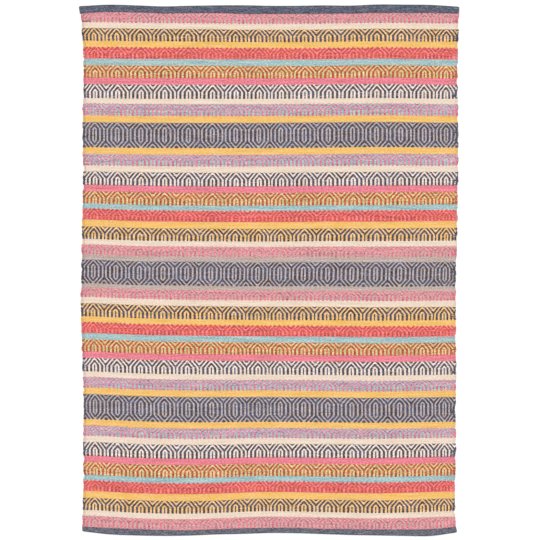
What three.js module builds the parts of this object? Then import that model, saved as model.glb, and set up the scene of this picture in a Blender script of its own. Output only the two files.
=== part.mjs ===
// A flat-woven kilim rug, lying flat, with a folded tape bound over each end.
// Millimetres, +Z up. The warp runs along Y and the head of the pattern is at +Y.
// The cloth is one weft-faced sheet. Its patterned bands are a little thicker than its
// plain stripes, its selvedges waver, and its stripes bow as the weaver beat them.

import * as THREE from "three";

// Driving dimensions
const halfWidth = 850; // nominal half width of the cloth, selvedge to centre line
const halfLength = 1195; // nominal half length over the bindings
const plainThickness = 3.4; // plain stripe
const patternThickness = 4.2; // band with two wefts in play
const pressedThickness = 3.0; // cloth nipped inside the folded tape
const patternSpread = 2.0; // a patterned band stands out this far at each selvedge
const bandRamp = 5; // length over which one band's thickness turns into the next
const tapeThickness = 1.0; // binding tape, one layer
const gap = 0.3; // sewn layers lie this far apart
const clothSetback = 3.0; // cloth end to the inside of the tape's fold
const columns = 14; // strips across the cloth
const tapeSections = 18; // sections along a tape
const foldRadius = 2.4; // outside of the tape's fold, measured into the rug
const foldSteps = 6; // flats round the tape's fold
const cornerRound = 6; // each tape's outer corners are rounded over this width
const cornerDrop = 3.6; // and drawn in this far at the very end
const rise = tapeThickness + gap; // the cloth's end lies on the tape's lower layer
const bindingThickness = 2 * rise + pressedThickness; // both tape layers and the cloth between

// The bands in the order they show, from the head of the rug to its foot. height is along Y.
// The first and last run on under the tape, and the heights add up to the cloth's length.
const bands = [
  { weave: "arches", yarn: "pink and greige", height: 76.4 },
  { weave: "plain", yarn: "cream", height: 24.4 },
  { weave: "arches", yarn: "navy and yellow", height: 57.6 },
  { weave: "plain", yarn: "yellow", height: 28.3 },
  { weave: "arches", yarn: "pink and red", height: 52.0 },
  { weave: "plain", yarn: "aqua", height: 29.4 },
  { weave: "arches", yarn: "orange and green", height: 55.4 },
  { weave: "plain", yarn: "pink", height: 27.1 },
  { weave: "arches", yarn: "navy and cream", height: 65.5 },
  { weave: "plain", yarn: "cream", height: 23.7 },
  { weave: "arches", yarn: "pink and blue", height: 54.2 },
  { weave: "plain", yarn: "yellow", height: 30.5 },
  { weave: "hexagons", yarn: "navy and greige", height: 114.1 },
  { weave: "plain", yarn: "yellow", height: 30.5 },
  { weave: "arches", yarn: "pink and blue", height: 52.0 },
  { weave: "plain", yarn: "cream", height: 29.4 },
  { weave: "arches", yarn: "navy and cream", height: 59.9 },
  { weave: "plain", yarn: "pink", height: 31.6 },
  { weave: "arches", yarn: "orange and green", height: 56.5 },
  { weave: "plain", yarn: "aqua", height: 24.9 },
  { weave: "arches", yarn: "pink and red", height: 50.9 },
  { weave: "plain", yarn: "yellow", height: 30.5 },
  { weave: "arches", yarn: "navy and yellow", height: 56.5 },
  { weave: "plain", yarn: "cream", height: 24.9 },
  { weave: "arches", yarn: "pink and greige", height: 45.2 },
  { weave: "plain", yarn: "greige", height: 23.7 },
  { weave: "hexagons", yarn: "navy and greige", height: 109.6 },
  { weave: "plain", yarn: "greige", height: 19.2 },
  { weave: "arches", yarn: "pink and greige", height: 44.1 },
  { weave: "plain", yarn: "cream", height: 27.1 },
  { weave: "arches", yarn: "navy and yellow", height: 59.9 },
  { weave: "plain", yarn: "yellow", height: 26.0 },
  { weave: "arches", yarn: "pink and red", height: 49.7 },
  { weave: "plain", yarn: "aqua", height: 27.1 },
  { weave: "arches", yarn: "orange and green", height: 55.4 },
  { weave: "plain", yarn: "pink", height: 27.1 },
  { weave: "arches", yarn: "navy and cream", height: 62.2 },
  { weave: "plain", yarn: "cream", height: 24.9 },
  { weave: "arches", yarn: "pink and blue", height: 46.3 },
  { weave: "plain", yarn: "yellow", height: 30.5 },
  { weave: "hexagons", yarn: "navy and greige", height: 111.9 },
  { weave: "plain", yarn: "yellow", height: 27.1 },
  { weave: "arches", yarn: "pink and blue", height: 46.3 },
  { weave: "plain", yarn: "cream", height: 27.1 },
  { weave: "arches", yarn: "navy and cream", height: 59.9 },
  { weave: "plain", yarn: "pink", height: 28.3 },
  { weave: "arches", yarn: "orange and green", height: 55.4 },
  { weave: "plain", yarn: "aqua", height: 24.9 },
  { weave: "arches", yarn: "pink and red", height: 48.6 },
  { weave: "plain", yarn: "yellow", height: 31.6 },
  { weave: "arches", yarn: "navy and yellow", height: 54.2 },
  { weave: "plain", yarn: "cream", height: 26.0 },
  { weave: "arches", yarn: "pink and greige", height: 76.7 },
];

// How far each selvedge lies outside the nominal half width, along the rug.
const selvedges = [
  { y: -1175, left: -6, right: -6 },
  { y: -1075, left: -6.5, right: -10 },
  { y: -925, left: -9, right: -9 },
  { y: -775, left: -9, right: -5.5 },
  { y: -625, left: -10.5, right: -6.5 },
  { y: -475, left: -6.5, right: -5.5 },
  { y: -325, left: -3.5, right: -9.5 },
  { y: -180, left: 2.5, right: -6 },
  { y: -30, left: 1, right: -3 },
  { y: 120, left: -2, right: -2 },
  { y: 270, left: -5, right: 0.5 },
  { y: 420, left: -8, right: 3.5 },
  { y: 565, left: -7.5, right: 4 },
  { y: 715, left: -7.5, right: 3 },
  { y: 865, left: -10, right: 1 },
  { y: 1015, left: -5.5, right: 4.5 },
  { y: 1130, left: 2.5, right: 7 },
  { y: 1175, left: 5, right: 8 },
];

// How far a stripe is pushed towards +Y at seven places across the rug, along the rug.
const bowPlaces = { farLeft: -795, left: -583, midLeft: -371, centre: 0, midRight: 265, right: 477, farRight: 795 };
const bows = [
  { y: -1085, farLeft: 5, left: -8, midLeft: -11, centre: 0, midRight: -4.5, right: -8.5, farRight: 0 },
  { y: -950, farLeft: 5, left: -5.5, midLeft: -9, centre: 0, midRight: -3.5, right: -5, farRight: 2 },
  { y: -815, farLeft: 8, left: -2, midLeft: -5.5, centre: 0, midRight: -2, right: -3, farRight: 2.5 },
  { y: -680, farLeft: 12, left: 2, midLeft: -2.5, centre: 0, midRight: -2.5, right: -4.5, farRight: 0 },
  { y: -545, farLeft: 13.5, left: 4, midLeft: 0, centre: 0, midRight: -2.5, right: -4.5, farRight: -0.5 },
  { y: -410, farLeft: 14.5, left: 5.5, midLeft: 2.5, centre: 0, midRight: -2, right: -4, farRight: -0.5 },
  { y: -135, farLeft: 15.5, left: 7, midLeft: 3.5, centre: 0, midRight: -0.5, right: -2.5, farRight: -0.5 },
  { y: 0, farLeft: 12.5, left: 4.5, midLeft: 3.5, centre: 0.5, midRight: 0.5, right: 0, farRight: 1 },
  { y: 135, farLeft: 12, left: 4, midLeft: 2, centre: 0, midRight: 2, right: 2, farRight: 4 },
  { y: 270, farLeft: 11.5, left: 3.5, midLeft: 1, centre: 0, midRight: 2, right: 2.5, farRight: 5.5 },
  { y: 405, farLeft: 7, left: 3, midLeft: 0.5, centre: 0, midRight: 2.5, right: 4, farRight: 5 },
  { y: 540, farLeft: 4, left: 1, midLeft: 0, centre: 0, midRight: 2.5, right: 4.5, farRight: 2.5 },
  { y: 745, farLeft: 3.5, left: 0.5, midLeft: 0, centre: 0, midRight: 2, right: 4, farRight: 0 },
  { y: 950, farLeft: 4.5, left: 2.5, midLeft: 2, centre: 0, midRight: 1, right: 4, farRight: 0 },
  { y: 1085, farLeft: 0, left: 0, midLeft: 0, centre: 0, midRight: 0, right: 0, farRight: 0 },
];

// How far each end lies outside the nominal half length, and how wide its tape shows, across the rug.
const ends = [
  { x: -848, head: 0, headTape: 34.5, foot: -15, footTape: 22 },
  { x: -727, head: 6, headTape: 34, foot: -1.5, footTape: 29.5 },
  { x: -606, head: 3, headTape: 33, foot: 3.5, footTape: 29.5 },
  { x: -485, head: -1.5, headTape: 33.5, foot: 5.5, footTape: 28 },
  { x: -364, head: 1, headTape: 34.5, foot: 4, footTape: 24.5 },
  { x: -242, head: 3, headTape: 36, foot: -1, footTape: 24 },
  { x: -121, head: 3.5, headTape: 40.5, foot: -3.5, footTape: 26 },
  { x: 0, head: 1, headTape: 37.5, foot: -7.5, footTape: 23.5 },
  { x: 121, head: 1, headTape: 37.5, foot: -6.5, footTape: 24.5 },
  { x: 242, head: 3, headTape: 39, foot: -2.5, footTape: 24.5 },
  { x: 364, head: 2, headTape: 37, foot: 1.5, footTape: 27.5 },
  { x: 485, head: 7, headTape: 39, foot: 3.5, footTape: 28 },
  { x: 606, head: 6.5, headTape: 39.5, foot: 5.5, footTape: 30 },
  { x: 727, head: 5, headTape: 37.5, foot: 6, footTape: 32 },
  { x: 848, head: -2.5, headTape: 32.5, foot: -11, footTape: 26 },
];

// The two tapes: side is the sign of their end's Y, and each runs past both selvedges.
const tapes = [
  { name: "head_binding", side: 1, edge: "head", width: "headTape", left: -860, right: 860 },
  { name: "foot_binding", side: -1, edge: "foot", width: "footTape", left: -848, right: 850 },
];

// The underside climbs onto the tape's lower layer over these distances from the tape's inner edge.
const climb = [
  { from: 1.5, lift: 1 },
  { from: 4, lift: 1 },
  { from: 12, lift: 0.75 },
  { from: 24, lift: 0.25 },
  { from: 38, lift: 0 },
];
const fullThicknessFrom = 12; // the nipped cloth is at its full thickness this far from the tape

// A smooth curve through some columns of a table, read at any value of its first column.
function smooth(rows, along, names) {
  const places = rows.map((row) => row[along]);
  const values = rows.flatMap((row) => names.map((name) => row[name]));
  return new THREE.CubicInterpolant(places, values, names.length);
}

const selvedgeAt = smooth(selvedges, "y", ["left", "right"]);
const endNames = ["head", "headTape", "foot", "footTape"];
const endAt = smooth(ends, "x", endNames);
const placeNames = Object.keys(bowPlaces);
const bowAt = smooth(bows, "y", placeNames);

function endValue(x, name) {
  return endAt.evaluate(x)[endNames.indexOf(name)];
}

// The push of the stripe that lies at y, at a place across the rug.
function bow(x, y) {
  const across = [...bowAt.evaluate(y)];
  const rows = placeNames.map((name, i) => ({ x: bowPlaces[name], push: across[i] }));
  return smooth(rows, "x", ["push"]).evaluate(x)[0];
}

// A closed solid from two facing grids of points, grid[row][column], joined round their rim.
function slab(front, back) {
  const rows = front.length;
  const across = front[0].length;
  const points = [...front.flat(), ...back.flat()];
  const faces = [];
  const id = (layer, j, i) => layer * rows * across + j * across + i;
  const quad = (a, b, c, d) => faces.push(a, b, c, a, c, d);
  for (let j = 0; j < rows - 1; j++) {
    for (let i = 0; i < across - 1; i++) {
      quad(id(0, j, i), id(0, j, i + 1), id(0, j + 1, i + 1), id(0, j + 1, i));
      quad(id(1, j, i), id(1, j + 1, i), id(1, j + 1, i + 1), id(1, j, i + 1));
    }
  }
  const last = across - 1;
  for (let j = 0; j < rows - 1; j++) {
    quad(id(0, j, 0), id(0, j + 1, 0), id(1, j + 1, 0), id(1, j, 0));
    quad(id(0, j + 1, last), id(0, j, last), id(1, j, last), id(1, j + 1, last));
  }
  for (let i = 0; i < last; i++) {
    quad(id(0, 0, i + 1), id(0, 0, i), id(1, 0, i), id(1, 0, i + 1));
    quad(id(0, rows - 1, i), id(0, rows - 1, i + 1), id(1, rows - 1, i + 1), id(1, rows - 1, i));
  }
  const geometry = new THREE.BufferGeometry().setFromPoints(points);
  geometry.setIndex(faces);
  geometry.computeVertexNormals();
  return geometry;
}

// The outer edge of an end, and the inner edge of its tape, as Y at a place across the rug.
function endY(tape, x) {
  return tape.side * (halfLength + endValue(x, tape.edge));
}

function tapeInnerY(tape, x) {
  return endY(tape, x) - tape.side * endValue(x, tape.width);
}

// The rows of the cloth near one end, outermost first: the end itself, then the climb.
function endRows(tape) {
  const inset = tapeThickness + clothSetback;
  const rows = [
    { yAt: (x) => endY(tape, x) - tape.side * inset, thickness: pressedThickness, lift: rise, spread: 0 },
  ];
  for (const step of climb) {
    rows.push({
      yAt: (x) => tapeInnerY(tape, x) - tape.side * step.from,
      thickness: step.from < fullThicknessFrom ? pressedThickness : patternThickness,
      lift: rise * step.lift,
      spread: step.from < fullThicknessFrom ? 0 : patternSpread,
    });
  }
  return rows;
}

// Two rows at each band boundary, one in the thickness of each band, following the bowed stripe.
function bandRows() {
  const rows = [];
  let y = halfLength - tapeThickness - clothSetback;
  for (let k = 0; k < bands.length - 1; k++) {
    y -= bands[k].height;
    for (const below of [0, 1]) {
      const rowY = y + bandRamp * (0.5 - below);
      const patterned = bands[k + below].weave !== "plain";
      rows.push({
        yAt: (x) => rowY + bow(x, rowY),
        thickness: patterned ? patternThickness : plainThickness,
        lift: 0,
        spread: patterned ? patternSpread : 0,
      });
    }
  }
  return rows;
}

function wovenCloth() {
  const rows = [...endRows(tapes[0]), ...bandRows(), ...endRows(tapes[1]).reverse()];
  const top = [];
  const underside = [];
  for (const row of rows) {
    const middleY = row.yAt(0);
    const [left, right] = selvedgeAt.evaluate(middleY);
    const leftX = -(halfWidth + left + row.spread);
    const rightX = halfWidth + right + row.spread;
    const topRow = [];
    const underRow = [];
    for (let i = 0; i <= columns; i++) {
      const x = THREE.MathUtils.lerp(leftX, rightX, i / columns);
      const y = row.yAt(x);
      topRow.push(new THREE.Vector3(x, y, row.lift + row.thickness));
      underRow.push(new THREE.Vector3(x, y, row.lift));
    }
    top.push(topRow);
    underside.push(underRow);
  }
  return slab(underside, top);
}

// The tape's section from its upper inner edge, over the fold, to its lower inner edge.
// into is measured from the fold towards the rug, and inset moves the path to the tape's inner face.
function tapeSection(width, inset) {
  const half = bindingThickness / 2;
  const path = [{ into: width, z: half - inset }];
  for (let k = 0; k <= foldSteps; k++) {
    const angle = Math.PI * (k / foldSteps - 0.5);
    path.push({
      into: foldRadius - (foldRadius - inset) * Math.cos(angle),
      z: -(half - inset) * Math.sin(angle),
    });
  }
  path.push({ into: width, z: inset - half });
  return path.map((point) => ({ into: point.into, z: point.z + half }));
}

function bindingTape(tape) {
  const outside = [];
  const inside = [];
  const stations = [tape.left];
  for (let k = 0; k <= tapeSections; k++) {
    stations.push(THREE.MathUtils.lerp(tape.left + cornerRound, tape.right - cornerRound, k / tapeSections));
  }
  stations.push(tape.right);
  for (const x of stations) {
    const drop = x === tape.left || x === tape.right ? cornerDrop : 0;
    const foldY = endY(tape, x) - tape.side * drop;
    const width = tape.side * (foldY - tapeInnerY(tape, x));
    const place = (point) => new THREE.Vector3(x, foldY - tape.side * point.into, point.z);
    outside.push(tapeSection(width, 0).map(place));
    inside.push(tapeSection(width, tapeThickness).map(place));
  }
  return tape.side > 0 ? slab(inside, outside) : slab(outside, inside);
}

const yarnMix = new THREE.MeshStandardMaterial({ color: 0xcf9f8e, roughness: 0.95, metalness: 0 });
const navyCotton = new THREE.MeshStandardMaterial({ color: 0x62677a, roughness: 0.9, metalness: 0 });

const rug = new THREE.Group();

const cloth = new THREE.Mesh(wovenCloth(), yarnMix);
cloth.name = "woven_cloth";
rug.add(cloth);

for (const tape of tapes) {
  const binding = new THREE.Mesh(bindingTape(tape), navyCotton.clone());
  binding.name = tape.name;
  rug.add(binding);
}

// The origin is on the floor under the middle of the rug's outline.
const outline = new THREE.Box3().setFromObject(rug);
const middle = outline.getCenter(new THREE.Vector3());
rug.position.set(-middle.x, -middle.y, 0);

export default rug;
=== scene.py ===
"""A flat-woven kilim rug lying on a pale floor, seen from straight above. Sizes are in millimetres."""

import bmesh
import bpy
import numpy as np
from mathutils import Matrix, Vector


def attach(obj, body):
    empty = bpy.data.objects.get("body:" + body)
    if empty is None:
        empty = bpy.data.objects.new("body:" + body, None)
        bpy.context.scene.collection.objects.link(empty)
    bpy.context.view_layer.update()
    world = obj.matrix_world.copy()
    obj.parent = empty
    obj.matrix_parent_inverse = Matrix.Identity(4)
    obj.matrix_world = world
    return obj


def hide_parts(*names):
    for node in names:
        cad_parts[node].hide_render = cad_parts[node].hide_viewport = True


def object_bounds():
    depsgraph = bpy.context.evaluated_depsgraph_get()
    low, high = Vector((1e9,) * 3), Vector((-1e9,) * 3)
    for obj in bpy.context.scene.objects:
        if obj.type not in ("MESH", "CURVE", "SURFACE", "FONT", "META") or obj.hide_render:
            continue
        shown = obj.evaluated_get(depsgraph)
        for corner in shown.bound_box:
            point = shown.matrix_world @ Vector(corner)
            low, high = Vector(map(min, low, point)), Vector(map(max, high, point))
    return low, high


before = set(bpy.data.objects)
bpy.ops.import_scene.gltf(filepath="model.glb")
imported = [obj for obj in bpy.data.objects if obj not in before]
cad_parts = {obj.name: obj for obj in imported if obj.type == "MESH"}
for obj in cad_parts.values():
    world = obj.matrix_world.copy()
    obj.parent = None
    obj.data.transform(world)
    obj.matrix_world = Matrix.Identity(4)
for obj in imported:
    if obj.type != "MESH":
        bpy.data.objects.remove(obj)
cad_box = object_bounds()
mm = 0.001


# The camera hangs straight above the middle of the rug, and its lens is long, so that
# the rug's sides stay parallel and none of the thickness shows.
def placed(name, data):
    """Puts a camera, a lamp or a mesh into the scene."""
    made = bpy.data.objects.new(name, data)
    bpy.context.scene.collection.objects.link(made)
    return made


picture_pixels = 540
pixel_size = 4.52  # what one of them covers on the rug
off_centre = 0.2 * pixel_size * mm
camera_data = bpy.data.cameras.new("camera")
camera_data.lens = 100
camera_data.sensor_width = 36
camera = placed("camera", camera_data)
camera_height = picture_pixels * pixel_size * mm * camera_data.lens / camera_data.sensor_width
camera.location = (off_centre, off_centre, cad_box[1].z + camera_height)
bpy.context.scene.camera = camera


# The warp. 355 cotton ends run the length of the rug inside the wefts, and each shows as a slim
# rib. Twenty-two make one arch of the pattern, and sixteen arches stand side by side with one
# more end at each side. The ends lie closer at the selvedges and wander by up to a centimetre.
arch_ends = 22
first_end = -1
last_end = 353
half_width = 851
edge_round = 2.1  # the outermost end lies this far inside the selvedge

# How far each selvedge lies outside the nominal half width: along the rug, left, right.
selvedges = np.array([
    (-1175, -6, -12), (-1075, -6.6, -16), (-925, -10.2, -14.2), (-775, -8.4, -11.1), (-625, -11, -13.5),
    (-475, -6.5, -9.9), (-325, -2.2, -12.3), (-180, 2.6, -11.3), (-30, -1, -12.2), (120, -2.3, -7),
    (270, -5.5, -4.7), (420, -8.6, -1.9), (565, -6.9, -1.1), (715, -6.5, -2.1), (865, -10.5, -5),
    (1015, -7.1, -1.4), (1130, 1.2, 0.7), (1175, 3.7, 1.7),
])

# The sixteen arches are set out evenly, and each centre is off its place by a little.
arch_spacing = 105.8
first_arch = -793.3
arch_offsets = np.array([
    0, -3.2, -1.7, 0.3, 2.2, 5.1, 5.6, 4.4, -2, -1.2, 1.8, 5.1, 7.3, 10.7, 10.3, 3.4,
])
arches = np.arange(len(arch_offsets))

# How far the ends lean to the right: along the rug, and at the arches with these numbers.
lean_arches = np.array([0.5, 4, 8, 12, 14])
leans = np.array([
    (-1059, 1.5, -1, -3, -5, -8.5), (-905, 5, 1, -2.5, -4.5, -7.5), (-815, 3.5, 1, -2, -4.5, -7),
    (-630, 3.5, -2.5, -4, -5, -7.5), (-440, 1, -4.5, -5, -8, -8.5), (-194, -6, -9, -9, -9.5, -9),
    (-19, -5, -8, -6.5, -5, -6), (157, -3, -4, -2, 0, 0.5), (410, 3.5, 0, 2, 1.5, 0.5),
    (609, 1, -0.5, -2, -1.5, 0), (808, 3.5, 0.5, 1.5, 0.5, -0.5), (935, 2.5, 0.5, 1.5, 2, 1),
    (1061, -2, -2.5, -1, 1.5, 1.5), (1153, -5.5, -6.5, -3, -1.5, 1.5),
])


def smooth(places, values, at):
    """A smooth curve through values at places, level beyond its first and last."""
    places = np.asarray(places, float)
    slopes = np.gradient(values, places)
    at = np.clip(at, places[0], places[-1])
    i = np.clip(np.searchsorted(places, at, side="right") - 1, 0, len(places) - 2)
    span = places[i + 1] - places[i]
    t = (at - places[i]) / span
    start = (1 + 2 * t) * (1 - t) ** 2 * values[i] + t * (1 - t) ** 2 * span * slopes[i]
    finish = t * t * (3 - 2 * t) * values[i + 1] + t * t * (t - 1) * span * slopes[i + 1]
    return start + finish


# Each rib has a groove on either side, half an end from its middle, and two lines on its crest.
crest_half = 1 / 6
whole_ends = np.arange(first_end, last_end + 1)
columns = np.sort(np.concatenate([
    whole_ends[:-1] + 0.5, whole_ends[1:] - crest_half, whole_ends[:-1] + crest_half, whole_ends[[0, -1]],
]))
known_ends = np.concatenate([[first_end], arch_ends / 2 + arch_ends * arches, [last_end]])
column_shares = np.stack([smooth(known_ends, row, columns) for row in np.eye(len(known_ends))], axis=1)


def waver(at, length, swing, swing_length, phase=0, swing_phase=0):
    """A wave whose own length comes and goes, so that it doesn't seem to repeat."""
    return np.sin(at / length + phase + swing * np.sin(at / swing_length + swing_phase))


def slack(along, phase):
    """How far the wefts let a selvedge out, which changes every few centimetres."""
    return 1.4 * waver(along, 13, 1.7, 51, phase, phase) + 1.1 * waver(along, 6.7, 1.3, 29, 2 * phase)


def across_at(along, spread):
    """Where every column of the cloth lies across the rug, on the weft at that place along it."""
    spread = spread - edge_round
    left = -half_width - smooth(selvedges[:, 0], selvedges[:, 1], along) - spread - slack(along, 0)
    right = half_width + smooth(selvedges[:, 0], selvedges[:, 2], along) + spread + slack(along, 2)
    leaning = np.array([smooth(leans[:, 0], lean, along) for lean in leans[:, 1:].T])
    middles = first_arch + arch_spacing * arches + arch_offsets + smooth(lean_arches, leaning, arches)
    return column_shares @ np.concatenate([[left], middles, [right]])


# The wefts. Wool yarn is packed down over the warp in 53 bands from the head of the rug to its
# foot. Each patterned band but the last, in two colours at once, has a plain stripe under it.
# The wefts bow, because the weaver beat them harder in some places than in others.
half_length = 1195
cloth_inset = 4.0  # from the outside of the folded tape to the end of the cloth
bands = []
for pattern, pattern_height, plain, plain_height in [
    ("pink_greige", 75.5, "cream", 26.5),
    ("navy_yellow", 55.5, "yellow", 30.5),
    ("pink_red", 50.5, "aqua", 29.0),
    ("orange_green", 55.5, "pink", 29.5),
    ("navy_cream", 62.0, "cream", 26.5),
    ("pink_blue", 52.0, "yellow", 31.0),
    ("navy_greige", 113.5, "yellow", 32.0),
    ("pink_blue", 51.5, "cream", 28.5),
    ("navy_cream", 61.5, "pink", 31.5),
    ("orange_green", 55.5, "aqua", 26.5),
    ("pink_red", 49.5, "yellow", 29.5),
    ("navy_yellow", 56.5, "cream", 25.0),
    ("pink_greige", 46.5, "greige", 23.0),
    ("navy_greige", 108.0, "greige", 20.5),
    ("pink_greige", 44.0, "cream", 28.0),
    ("navy_yellow", 59.0, "yellow", 28.5),
    ("pink_red", 48.0, "aqua", 27.0),
    ("orange_green", 54.5, "pink", 29.5),
    ("navy_cream", 59.5, "cream", 26.5),
    ("pink_blue", 46.5, "yellow", 29.0),
    ("navy_greige", 112.0, "yellow", 29.5),
    ("pink_blue", 44.0, "cream", 26.5),
    ("navy_cream", 61.0, "pink", 29.5),
    ("orange_green", 54.5, "aqua", 26.5),
    ("pink_red", 47.5, "yellow", 29.5),
    ("navy_yellow", 55.5, "cream", 25.5),
    ("pink_greige", 77.7, None, 0),
]:
    bands.append({"yarn": pattern, "height": pattern_height, "patterned": True})
    if plain:
        bands.append({"yarn": plain, "height": plain_height, "patterned": False})
band_top = half_length - cloth_inset
for band in bands:
    band["top"] = band_top
    band_top -= band["height"]
    band["bottom"] = band_top

# How far the wefts are pushed towards the head: along the rug, and at seven places across it.
bow_places = np.array([-795, -583, -371, 0, 265, 477, 795])
bows = np.array([
    (-1085, 5, -8, -11, 0, -4.5, -8.5, 0), (-950, 5, -5.5, -9, 0, -3.5, -5, 2),
    (-815, 8, -2, -5.5, 0, -2, -3, 2.5), (-680, 12, 2, -2.5, 0, -2.5, -4.5, 0),
    (-545, 13.5, 4, 0, 0, -2.5, -4.5, -0.5), (-410, 14.5, 5.5, 2.5, 0, -2, -4, -0.5),
    (-135, 15.5, 7, 3.5, 0, -0.5, -2.5, -0.5), (0, 12.5, 4.5, 3.5, 0.5, 0.5, 0, 1),
    (135, 12, 4, 2, 0, 2, 2, 4), (270, 11.5, 3.5, 1, 0, 2, 2.5, 5.5), (405, 7, 3, 0.5, 0, 2.5, 4, 5),
    (540, 4, 1, 0, 0, 2.5, 4.5, 2.5), (745, 3.5, 0.5, 0, 0, 2, 4, 0), (950, 4.5, 2.5, 2, 0, 1, 4, 0),
    (1085, 7, 4.5, 2.5, -1, 0.5, 3.5, 1),
])


def bow(across, along):
    """How far the weft at that place along the rug is pushed towards the head, across the rug."""
    pushes = np.array([smooth(bows[:, 0], column, along) for column in bows[:, 1:].T])
    return smooth(bow_places, pushes, across)


# The point draft, which every patterned band is woven by. Up to the bend, figure and ground
# take two ends each, in upright legs. Above it, each step moves the figure one end towards the
# arch's middle, until the legs meet. A hexagon bends at its foot as well, as if upside down.
bend_shares = {"navy_greige": 0.27, "navy_yellow": 0.545, "pink_red": 0.505}  # of the height, from the top
usual_bend_share = 0.53
steps_over_bend = 5.6
end_band_height = 45  # the first and last bands run on under the tape, and would be this high
hexagon_leg_steps = steps_over_bend * (1 - 2 * bend_shares["navy_greige"]) / bend_shares["navy_greige"]
lowest_step = -0.9 * hexagon_leg_steps  # of a band that has no lower bend


def steps_from_bend(band, along):
    """How many steps of the draft a place lies above the upper bend."""
    top, height = band["top"], band["height"]
    if band in (bands[0], bands[-1]):
        height = end_band_height
    if band is bands[0]:
        top = band["bottom"] + height
    over = bend_shares.get(band["yarn"], usual_bend_share) * height
    steps = (along - top + over) * steps_over_bend / over
    return steps if band["yarn"] == "navy_greige" else np.maximum(steps, lowest_step)


# Past a bend, the end in the middle of an arch goes with its neighbours, as if it lay this far
# out, and the end between two arches as if it lay this much nearer the middle. The rows are the
# upper bend and the lower one, and the columns are the first steps and those past late_from.
late_from = 3
draft_ends = 4  # two of the figure and two of the ground
draft_start = 2.5
middle_out = np.array([(0.45, 0.65), (0, 0.8)])
between_in = np.array([(0, 0.7), (0.3, 0.2)])


def figure_at(ends, steps):
    """1 where an end shows the figure's weft and 0 where it shows the ground's."""
    lane = np.abs(np.mod(ends, arch_ends) - arch_ends / 2)
    under = -hexagon_leg_steps - steps
    steps = np.maximum(steps, under)
    bend = (np.asarray(under > 0, int), np.asarray(steps > late_from, int))
    lane = np.maximum(lane, middle_out[bend] * (steps > 0))
    lane -= between_in[bend] * ((lane > arch_ends / 2 - 0.5) & (steps > 0))
    place = np.mod(lane + np.maximum(steps, 0) + draft_start, draft_ends)
    return (np.abs(place - draft_ends / 2) <= draft_ends / 4).astype(float)


# The cloth is one web. It is meshed in six lengths that meet where one band ends and the next
# begins, each a closed sheet with ribs over the warp, rounded selvedges and the bands as woven:
# the figure's wefts reach a little past a band's edge, so that every edge is toothed.
plain_thickness = 3.4
pattern_thickness = 4.2
pattern_spread = 0.8  # a patterned band is this much wider at each selvedge
half_ramp = 2.5  # a band has its own thickness this far from its edge
row_spacing = 14
# How far the ground's and the figure's wefts reach up at the edges of a patterned band.
teeth = {
    "top": (1.2, -1.2), "bottom": (1.2, -1.7), "pink_red top": (3.0, 0.2), "pink_red bottom": (1.2, -1.0),
    "pink_blue top": (2.6, 0.2), "orange_green top": (2.0, -0.6),
}
pressed_thickness = 3.0
tape_thickness = 1.0
layer_gap = 0.3
tape_rise = tape_thickness + layer_gap
binding_thickness = 2 * tape_rise + pressed_thickness

# How far each end lies outside the nominal half length, and how wide its tape shows: across
# the rug, head, head tape, foot, foot tape.
rug_ends = np.array([
    (-848, 0, 34.5, -15, 22), (-727, 6, 34, -1.5, 29.5), (-606, 3, 33, 3.5, 29.5),
    (-485, -1.5, 33.5, 5.5, 28), (-364, 1, 34.5, 4, 24.5), (-242, 3, 36, -1, 24),
    (-121, 3.5, 40.5, -3.5, 26), (0, 1, 37.5, -7.5, 23.5), (121, 1, 37.5, -6.5, 24.5),
    (242, 3, 39, -2.5, 24.5), (364, 2, 37, 1.5, 27.5), (485, 7, 39, 3.5, 28),
    (606, 6.5, 39.5, 5.5, 30), (727, 5, 37.5, 6, 32), (848, -2.5, 32.5, -11, 26),
])
outline_middle = (rug_ends[:, 1].max() - rug_ends[:, 3].max()) / 2


def end_along(side, across):
    """The outer edge of the tape at the head (side 1) or foot (side -1)."""
    return side * (half_length + smooth(rug_ends[:, 0], rug_ends[:, 2 - side], across))


def tape_edge_along(side, across):
    """The edge of the tape that lies on the cloth."""
    return end_along(side, across) - side * smooth(rug_ends[:, 0], rug_ends[:, 3 - side], across)


# The cloth climbs onto the tape's lower layer and ends inside the fold: from which edge of the
# tape, how far from it, how much of the climb it has made, and how thick it is.
climb = [
    (tape_edge_along, 38, 0, pattern_thickness), (tape_edge_along, 24, 0.25, pattern_thickness),
    (tape_edge_along, 12, 0.75, pattern_thickness), (tape_edge_along, 4, 1, pressed_thickness),
    (tape_edge_along, 1.5, 1, pressed_thickness), (end_along, cloth_inset, 1, pressed_thickness),
]


def row(along, band, thickness, spread, edge=None, lift=0, runs=None):
    """One line of the cloth's mesh across the rug. runs gives its place where it isn't a weft."""
    across = across_at(along, spread)
    if runs is None:
        places = np.full(len(columns), float(along))
        if edge:
            steps = steps_from_bend(band, along + (half_ramp if edge == "bottom" else -half_ramp))
            left = figure_at(np.floor(columns + 0.5 - 1e-6), steps)
            right = figure_at(np.floor(columns + 0.5 + 1e-6), steps)
            ground, figure = teeth.get(f"{band['yarn']} {edge}", teeth[edge])
            places += ground + (figure - ground) * (left + right) / 2
        lengthwise = places + bow(across, along)
    else:
        lengthwise = runs(across)
        places = lengthwise - bow(across, along)
    steps = steps_from_bend(band, places) if band["patterned"] else 0 * places
    return {"across": across, "lengthwise": lengthwise - outline_middle, "along": places, "steps": steps,
            "thickness": thickness, "lift": lift * tape_rise}


def end_rows(side, band):
    """The lines that follow the uneven tape instead of the wefts, from the cloth towards its end."""
    made = []
    for line_along, distance, lift, thickness in climb:
        runs = lambda across, line=line_along, d=distance: line(side, across) - side * d
        spread = pattern_spread if thickness == pattern_thickness else 0
        made.append(row(float(runs(0.0)), band, thickness, spread, lift=lift, runs=runs))
    return made


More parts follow.
